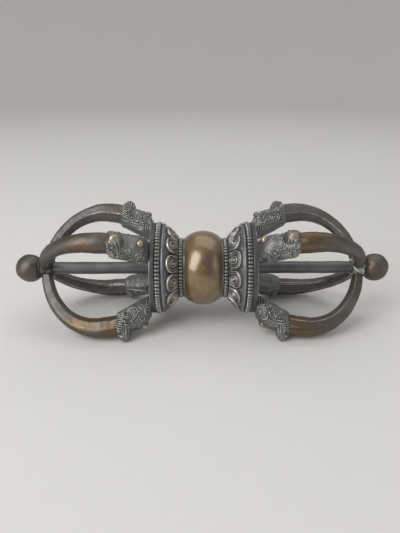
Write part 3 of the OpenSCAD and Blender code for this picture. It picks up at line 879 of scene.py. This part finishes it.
def tip_collar_form(seed, braze):
    """The joint under the ball, with lumps of braze in the corners between the prongs."""
    x = np.linspace(TIP_START, TIP_END, TIP_STEPS)
    grid = lathe(x, np.full(len(x), TIP_R), TIP_COLUMNS)
    turn = np.arctan2(grid[..., 2], grid[..., 1])
    lump = 0.5 + 0.5 * np.cos(len(PLACES) * turn)
    middle = 1 - ((2 * grid[..., 0] - TIP_START - TIP_END) / (TIP_END - TIP_START)) ** LUMP_SQUARE
    lumps = (TIP_LUMP + BRAZE_LUMP * braze) * lump + uneven(grid, LUMP_UNEVEN, seed)
    height = middle * lumps - TIP_SET + uneven(grid, TIP_UNEVEN, seed + 1)
    grid[..., 1] += height * np.cos(turn)
    grid[..., 2] += height * np.sin(turn)
    bore = lathe((TIP_END, TIP_START), (SPINDLE_R, SPINDLE_R), TIP_COLUMNS)
    relief = np.concatenate((prominence(height, passes=4), np.zeros((len(bore), TIP_COLUMNS))))
    return Form(np.concatenate((grid, bore)), relief, True, braze)


def finial_form(seed, point):
    """A cast ball, a little uneven, with a short neck and sometimes the start of a point."""
    middle = BALL_END - BALL_R
    round_r = BALL_R - BALL_SPARE
    turn = np.linspace(
        math.asin((BALL_START + NECK_LONG - middle) / BALL_R), math.pi / 2 - BALL_POLE, BALL_STEPS)
    neck_r = round_r * math.cos(turn[0])
    x = np.concatenate(([BALL_START + along for along, _ in NECK_ROWS], middle + round_r * np.sin(turn)))
    radius = np.concatenate(([neck_r - inward for _, inward in NECK_ROWS], round_r * np.cos(turn)))
    grid = lathe(x, radius, columns=120)
    height = uneven(grid, BALL_UNEVEN, seed)
    grid = swell(grid, height)
    grid[..., 0] += point * smooth(radius, POINT_R, 0.0)[:, None]
    grid[..., 0] = np.clip(grid[..., 0], BALL_START, BALL_END)
    # The neck is darkened with dirt and painted shade
    in_groove = smooth(grid[..., 0] - BALL_START, *NECK_DIRT_AND_SHADE)
    rub = BALL_BROWN + uneven(grid, BALL_PATCHES, seed + 2)
    return Form(grid, CAST_RELIEF * height - GROOVE_DIRT_AND_SHADE * in_groove, False, rub)


# Materials

# Patterns in the metal, in millimetres: blotches, ragged patches, grain, and the lines left by turning,
# how many times longer than wide those are and how far they show as bright metal
BLOTCH = 10.0
RAGGED = 1.6
GRAIN = 0.35
LINES = 6.0
LINES_STRETCH = 9.0
LINES_BRIGHT = 0.45
# How far the bumps rise, in millimetres, how metallic dirt is, and the gloss of the clear coat
BUMP_DEPTH = 0.1
DIRT_METAL = 0.4
COAT_ROUGHNESS = 0.22
COAT_IOR = 1.9


class Graph:
    """Adds shader nodes, and links or sets what each one takes."""

    def __init__(self, tree):
        self.tree = tree

    def link(self, value, node, key):
        """Gives a node's input a value."""
        self.tree.links.new(value, node.inputs[key])

    def add(self, kind, inputs=None, **settings):
        """A node of a kind, with its settings and inputs."""
        made = self.tree.nodes.new("ShaderNode" + kind)
        for name, value in settings.items():
            setattr(made, name, value)
        for key, value in (inputs or {}).items():
            if isinstance(value, bpy.types.NodeSocket):
                self.link(value, made, key)
            else:
                made.inputs[key].default_value = value
        return made

    def noise(self, place, grain_mm, detail=3.0, roughness=0.6):
        """Noise whose grains are about that many millimetres across."""
        scale = 1 / (grain_mm * MM)
        inputs = {"Vector": place, "Scale": scale, "Detail": detail, "Roughness": roughness}
        return self.add("TexNoise", inputs).outputs["Fac"]

    def trait(self, name):
        """A value that each point of the mesh carries."""
        return self.add("Attribute", attribute_name=name).outputs["Fac"]

    def math(self, operation, a, b):
        """Two values put together."""
        return self.add("Math", {0: a, 1: b}, operation=operation).outputs[0]

    def rise(self, value, low, high, bottom=0.0, top=1.0):
        """Bottom below low, top above high, and a smooth rise between them."""
        inputs = {"Value": value, 1: low, 2: high, 3: bottom, 4: top}
        return self.add("MapRange", inputs, interpolation_type="SMOOTHSTEP").outputs[0]

    def mix(self, factor, a, b):
        """Colour a where the factor is 0, and b where it is 1."""
        return self.add("Mix", {0: factor, 6: a, 7: b}, data_type="RGBA").outputs[2]


def colour(red, green, blue):
    """A colour from screen values of 0 to 255."""
    def linear(v):
        v /= 255
        return v / 12.92 if v <= 0.04045 else ((v + 0.055) / 1.055) ** 2.4
    return (linear(red), linear(green), linear(blue), 1.0)


def new_material(name):
    """A material with its node graph, its shader and places on the object in metres."""
    material = bpy.data.materials.new(name)
    material.use_nodes = True
    graph = Graph(material.node_tree)
    shader = material.node_tree.nodes["Principled BSDF"]
    return material, graph, shader, graph.add("TexCoord").outputs["Object"]


def bronze(name, tones, deep, worn, rubbed, wear=(0.25, 0.95), grime=(0.05, 0.65), rough=(0.3, 0.46),
           patchy=0.8, pits=0.3, turning=False, coat=0.0, metal=1.0):
    """Patinated bronze: two tones in blotches, two kinds of dirt in the hollows, worn and rubbed metal."""
    tone_a, tone_b, dirt_a, dirt_b, worn, rubbed = [colour(*c) for c in (*tones, *deep, worn, rubbed)]
    material, graph, shader, place = new_material(name)
    blotch = graph.noise(place, BLOTCH, 3.0)
    ragged = graph.noise(place, RAGGED, 5.0, 0.7)
    grain = graph.noise(place, GRAIN, 3.0)
    unrest = graph.math("MULTIPLY", graph.math("SUBTRACT", ragged, 0.5), patchy)
    level = graph.math("ADD", graph.trait("relief"), unrest)
    high = graph.rise(level, *wear)
    low = graph.rise(graph.math("MULTIPLY", level, -1.0), *grime)
    bare = graph.rise(graph.math("ADD", graph.trait("rub"), unrest), 0.2, 0.9)
    bumps = graph.math("ADD", graph.math("MULTIPLY", ragged, 0.5), graph.math("MULTIPLY", grain, 0.5))
    if turning:
        stretch = graph.add("Mapping", {"Vector": place, "Scale": (LINES_STRETCH, 1.0, 1.0)})
        lines = graph.noise(stretch.outputs["Vector"], LINES, 4.0, 0.7)
        bare = graph.math("MAXIMUM", bare, graph.rise(lines, 0.5, 0.75, 0.0, LINES_BRIGHT))
        bumps = graph.math("ADD", graph.math("MULTIPLY", bumps, 0.3), graph.math("MULTIPLY", lines, 0.7))
    body = graph.mix(graph.rise(blotch, 0.36, 0.64), tone_a, tone_b)
    body = graph.mix(graph.rise(grain, 0.55, 0.8, 0.0, 0.3), body, dirt_a)
    body = graph.mix(bare, body, rubbed)
    dirt = graph.mix(graph.rise(blotch, 0.42, 0.62), dirt_a, dirt_b)
    base = graph.mix(high, graph.mix(low, body, dirt), worn)
    graph.link(base, shader, "Base Color")
    shine = graph.rise(graph.math("MAXIMUM", high, bare), 0.0, 1.0, rough[1], rough[0])
    dull = graph.math("ADD", shine, graph.rise(ragged, 0.3, 0.7, -0.05, 0.07))
    graph.link(dull, shader, "Roughness")
    graph.link(graph.rise(low, 0.0, 1.0, metal, DIRT_METAL), shader, "Metallic")
    bump = graph.add("Bump", {"Height": bumps, "Strength": pits, "Distance": BUMP_DEPTH * MM})
    graph.link(bump.outputs["Normal"], shader, "Normal")
    shader.inputs["Coat Weight"].default_value = coat
    shader.inputs["Coat Roughness"].default_value = COAT_ROUGHNESS
    shader.inputs["Coat IOR"].default_value = COAT_IOR
    return material


POLISHED = bronze(
    "polished globe bronze", tones=[(122, 95, 42), (90, 60, 28)], deep=[(66, 54, 42), (76, 70, 50)],
    worn=(158, 130, 82), rubbed=(162, 138, 88), wear=(0.5, 1.1), grime=(0.35, 1.0), rough=(0.26, 0.32),
    patchy=0.9, pits=0.3, turning=True, coat=1.0, metal=0.55)
CHASED = bronze(
    "chased grey bronze", tones=[(138, 138, 136), (122, 123, 122)], deep=[(62, 61, 60), (74, 84, 80)],
    worn=(200, 198, 190), rubbed=(172, 157, 145), wear=(0.14, 0.75), grime=(0.04, 0.55),
    rough=(0.34, 0.48))
# The band's tones and worn colour are lighter than the chased bronze: a painted highlight of its smooth
# roll
BAND_BRONZE_PAINTED_HIGHLIGHT = bronze(
    "smooth band bronze with painted highlight", tones=[(152, 152, 154), (134, 135, 138)], deep=[(76, 75, 76), (82, 88, 86)],
    worn=(192, 192, 190), rubbed=(176, 166, 152), wear=(0.4, 1.0), grime=(0.3, 0.9), rough=(0.24, 0.34),
    patchy=0.6, pits=0.2)
BROWN = bronze(
    "brown prong bronze", tones=[(114, 113, 112), (104, 97, 90)], deep=[(64, 59, 56), (72, 72, 66)],
    worn=(170, 165, 155), rubbed=(114, 98, 79), wear=(0.35, 0.9), grime=(0.25, 0.85), rough=(0.38, 0.48),
    patchy=0.9, pits=0.45)
DARK = bronze(
    "blue-grey bronze", tones=[(124, 125, 126), (108, 109, 112)], deep=[(68, 68, 70), (74, 78, 76)],
    worn=(164, 164, 164), rubbed=(134, 132, 130), wear=(0.45, 1.1), grime=(0.3, 1.0), rough=(0.42, 0.52),
    patchy=0.6, pits=0.3)
PLATE = bronze(
    "dark plate bronze", tones=[(104, 104, 104), (92, 92, 94)], deep=[(62, 62, 62), (70, 74, 72)],
    worn=(164, 164, 162), rubbed=(134, 132, 130), wear=(0.4, 1.0), grime=(0.3, 1.0), rough=(0.38, 0.48),
    patchy=0.7, pits=0.3)
BRAZE = bronze(
    "brazed joint", tones=[(104, 98, 90), (94, 90, 84)], deep=[(58, 54, 50), (64, 68, 62)],
    worn=(176, 174, 164), rubbed=(194, 198, 188), wear=(0.3, 1.0), rough=(0.4, 0.55), patchy=1.2, pits=0.6)
STUD = bronze(
    "rubbed stud bronze", tones=[(150, 138, 120), (134, 122, 106)], deep=[(70, 62, 54), (70, 62, 54)],
    worn=(204, 196, 180), rubbed=(190, 180, 160), wear=(0.3, 1.0), rough=(0.24, 0.36), pits=0.15)


# The object, each piece with a seed of its own

add_piece("hub_globe", POLISHED, [globe_form(seed=11)])
add_piece("central_spindle", DARK, [spindle_form(seed=12)])

for end_number, (end_name, end) in enumerate(ENDS.items()):
    seed = 100 * (end_number + 1)
    rings = (
        ("inner_bead_ring", "chased_bronze", CHASED,
         beaded_form(RING_START, RING_END, RING_CORE_R, RING_R, SPIGOT_R, RING_BEADS, RING_SQUARE, seed)),
        ("lotus_collar", "chased_bronze", CHASED, collar_form(seed + 1, PETAL_TURN[end_name])),
        # The band's bronze is lightened as a painted highlight
        ("band_ring", "chased_bronze", BAND_BRONZE_PAINTED_HIGHLIGHT, band_form(seed + 20)),
        ("bead_rim", "chased_bronze", CHASED,
         beaded_form(RIM_START, RIM_END, RIM_CORE_R, RIM_R, BOSS_R, RIM_BARS, RIM_SQUARE, seed + 21)),
        ("socket_plate", "dark_bronze", PLATE, plate_form(seed + 22)),
        ("tip_collar", "brown_bronze", BRAZE, tip_collar_form(seed + 23, TIP_BRAZE[end_name])),
        ("finial", "brown_bronze", BROWN, finial_form(seed + 25, BALL_POINT[end_name])),
    )
    # Rings are drawn for the right end, and turned half round for the left one
    half_turn = np.diag((end, end, 1.0))
    for ring_name, slot, material, form in rings:
        add_piece(f"{end_name}_{ring_name}", material, [set_at(form, half_turn)])
    studs = []
    for place_number, (place_name, degrees) in enumerate(PLACES.items()):
        own = seed + 30 + 10 * place_number
        axes = place_axes(end, degrees)
        head = HEADS.get(f"{end_name}_{place_name}", Head())
        makara = flatten_rests(set_at(head_form(own, head), axes))
        add_piece(f"{end_name}_makara_head_{place_name}", CHASED, [makara])
        prong = set_at(prong_form(own + 4, PRONG_BROWN[place_name]), axes)
        add_piece(f"{end_name}_prong_{place_name}", BROWN, [prong])
        studs.append(set_at(stud_form(own + 7, head), axes))
    add_piece(f"{end_name}_stud_rivets", STUD, studs)


# The stage: a pale floor that sweeps up into a wall all around, soft lights and the camera, in metres

FLOOR_RINGS = (0.02, 0.3, 0.6)
FLOOR_RADIUS = 0.9
WALL_BEND = 0.5
WALL_TOP = 1.1
BEND_STEPS = 24
STAGE_SIDES = 96
PAPER_TONES = [(228, 226, 222), (232, 230, 227)]
PAPER_GRAIN = 4.0
PAPER_ROUGHNESS = 0.85


def add_stage():
    """The floor and the wall around it, in pale paper."""
    bend = np.linspace(0, math.pi / 2, BEND_STEPS)
    wall_radius = FLOOR_RADIUS + WALL_BEND
    radius = np.concatenate((FLOOR_RINGS, FLOOR_RADIUS + WALL_BEND * np.sin(bend), (wall_radius,)))
    height = np.concatenate((np.zeros(len(FLOOR_RINGS)), WALL_BEND * (1 - np.cos(bend)), (WALL_TOP,)))
    points = lathe(height + cad_box[0].z, radius, STAGE_SIDES)[..., [1, 2, 0]]
    index = np.arange(len(radius) * STAGE_SIDES).reshape(-1, STAGE_SIDES)
    corners = (index[:-1], index[1:], np.roll(index[1:], -1, 1), np.roll(index[:-1], -1, 1))
    faces = np.stack(corners, -1).reshape(-1, 4).tolist() + [index[0].tolist()]
    mesh = bpy.data.meshes.new("studio_sweep")
    mesh.from_pydata(points.reshape(-1, 3).tolist(), [], faces)
    mesh.shade_smooth()
    material, graph, shader, place = new_material("pale studio paper")
    tone = graph.mix(graph.noise(place, PAPER_GRAIN, 4.0), *[colour(*paper) for paper in PAPER_TONES])
    graph.link(tone, shader, "Base Color")
    shader.inputs["Roughness"].default_value = PAPER_ROUGHNESS
    mesh.materials.append(material)
    add_object("studio_sweep", mesh)


def add_light(name, place, width, height, radiance):
    """A soft box that faces the object and shines evenly, at a brightness where 1 is white."""
    lamp = bpy.data.lights.new(name, "AREA")
    lamp.shape = "RECTANGLE"
    lamp.size = width
    lamp.size_y = height
    lamp.energy = radiance * math.pi * width * height
    light = add_object(name, lamp)
    light.location = place
    light.rotation_euler = (-Vector(place)).to_track_quat("-Z", "Y").to_euler()


def add_world(strength):
    """Even white light from all around."""
    world = bpy.data.worlds.new("soft room")
    world.use_nodes = True
    background = world.node_tree.nodes["Background"]
    background.inputs["Color"].default_value = (1.0, 1.0, 1.0, 1.0)
    background.inputs["Strength"].default_value = strength
    scene.world = world


# The photograph's camera, with the picture, the point that the camera faces and its lens in pixels
PICTURE_LONG_SIDE = 533
PICTURE_MIDDLE = (200.0, 266.5)
AXIS_PIXEL = (203.06, 267.52)
CAMERA_DISTANCE = 0.1912
CAMERA_ELEVATION = math.radians(24.28)
CAMERA_YAW = math.radians(0.89)
CAMERA_ROLL = math.radians(0.17)
LENS_PIXELS = 472.47
SENSOR = 36.0
CLIP_START = 0.005


def add_camera():
    """The camera, at the place and with the lens that fit the photograph."""
    flat = math.cos(CAMERA_ELEVATION)
    forward = Vector((
        math.sin(CAMERA_YAW) * flat, math.cos(CAMERA_YAW) * flat, -math.sin(CAMERA_ELEVATION)))
    right = forward.cross(Vector((0, 0, 1))).normalized()
    up = right.cross(forward)
    roll = Matrix.Rotation(-CAMERA_ROLL, 3, forward)
    right = roll @ right
    up = roll @ up
    lens = bpy.data.cameras.new("photograph_view")
    lens.sensor_width = SENSOR
    lens.lens = LENS_PIXELS / PICTURE_LONG_SIDE * SENSOR
    lens.shift_x = (PICTURE_MIDDLE[0] - AXIS_PIXEL[0]) / PICTURE_LONG_SIDE
    lens.shift_y = (AXIS_PIXEL[1] - PICTURE_MIDDLE[1]) / PICTURE_LONG_SIDE
    lens.clip_start = CLIP_START
    camera = add_object("photograph_view", lens)
    camera.matrix_world = Matrix((right, up, -forward)).transposed().to_4x4()
    camera.location = -CAMERA_DISTANCE * forward
    scene.camera = camera


add_stage()
add_light("key", place=(-0.46, -0.42, 0.46), width=0.45, height=0.80, radiance=3.6)
add_light("top", place=(0.10, 0.30, 0.75), width=0.90, height=0.70, radiance=0.7)
add_light("fill", place=(0.60, -0.35, 0.30), width=0.40, height=0.50, radiance=0.5)
add_world(strength=0.38)
add_camera()
scene.view_settings.view_transform = "Standard"

bpy.context.view_layer.update()
